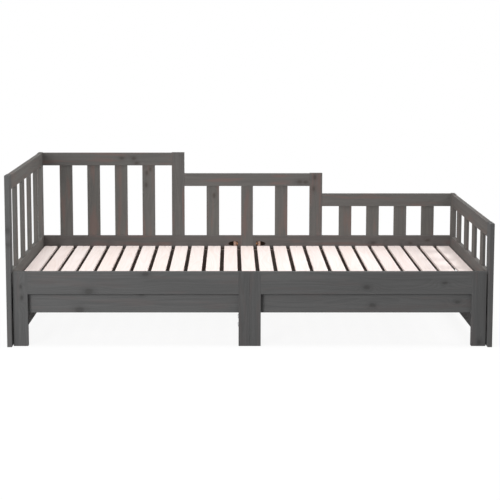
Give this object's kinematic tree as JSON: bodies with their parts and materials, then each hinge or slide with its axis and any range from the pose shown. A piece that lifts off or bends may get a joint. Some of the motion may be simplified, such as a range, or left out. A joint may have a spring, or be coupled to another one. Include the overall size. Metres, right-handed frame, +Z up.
{
  "type": "pull-out daybed",
  "caption": "Stained pine daybed with stepped slatted back and ends; its slatted front half slides out between the fixed slats to make a double bed.",
  "frame": {"origin": "on the floor, under the middle of the closed bed's box", "axes": "+X along the bed from the high end to the low end, +Y from the front to the back panel, +Z up"},
  "size_m": [2.05, 1.002, 0.73],
  "materials": {
    "stained_pine": "grey stain, satin",
    "bare_pine": "pale planed pine",
    "zinc_steel": "zinc plated",
    "copper_screw": "coppery plated"
  },
  "bodies": {
    "bed": {"back_centre_leg": "stained_pine", "back_lower_rail_left": "stained_pine", "back_lower_rail_right": "stained_pine", "back_middle_post": "stained_pine", "back_slat_ledger": "stained_pine", "back_tall_post": "stained_pine", "back_top_rail_high": "stained_pine", "back_top_rail_low": "stained_pine", "back_top_rail_middle": "stained_pine", "back_upright_1": "stained_pine", "back_upright_10": "stained_pine", "back_upright_2": "stained_pine", "back_upright_3": "stained_pine", "back_upright_4": "stained_pine", "back_upright_5": "stained_pine", "back_upright_6": "stained_pine", "back_upright_7": "stained_pine", "back_upright_8": "stained_pine", "back_upright_9": "stained_pine", "barrel_nuts": "zinc_steel", "bed_wood_screws": "zinc_steel", "fixed_slats": "bare_pine", "front_beam_left": "stained_pine", "front_beam_leg": "stained_pine", "front_beam_right": "stained_pine", "front_slat_batten": "stained_pine", "left_back_post": "stained_pine", "left_front_post": "stained_pine", "left_lower_rail": "stained_pine", "left_top_rail": "stained_pine", "left_upright_1": "stained_pine", "left_upright_2": "stained_pine", "left_upright_3": "stained_pine", "left_upright_4": "stained_pine", "panel_bolts": "zinc_steel", "pocket_screws": "copper_screw", "right_back_post": "stained_pine", "right_front_post": "stained_pine", "right_lower_rail": "stained_pine", "right_top_rail": "stained_pine", "right_upright_1": "stained_pine", "right_upright_2": "stained_pine", "right_upright_3": "stained_pine", "right_upright_4": "stained_pine"},
    "pullout": {"centre_leg_bolts": "zinc_steel", "moving_slats": "bare_pine", "pullout_centre_leg_left": "stained_pine", "pullout_centre_leg_right": "stained_pine", "pullout_crossbar": "stained_pine", "pullout_left_leg": "stained_pine", "pullout_rail_left": "stained_pine", "pullout_rail_right": "stained_pine", "pullout_rear_leg_centre": "stained_pine", "pullout_rear_leg_left": "stained_pine", "pullout_rear_leg_right": "stained_pine", "pullout_right_leg": "stained_pine", "pullout_slat_battens": "stained_pine", "pullout_stretcher_left": "stained_pine", "pullout_stretcher_right": "stained_pine", "pullout_wood_screws": "zinc_steel"}
  },
  "joints": [
    {"name": "pullout_slide", "type": "slide", "parent": "bed", "child": "pullout", "axis": [0, -1, 0], "range_m": [0, 0.857]}
  ]
}
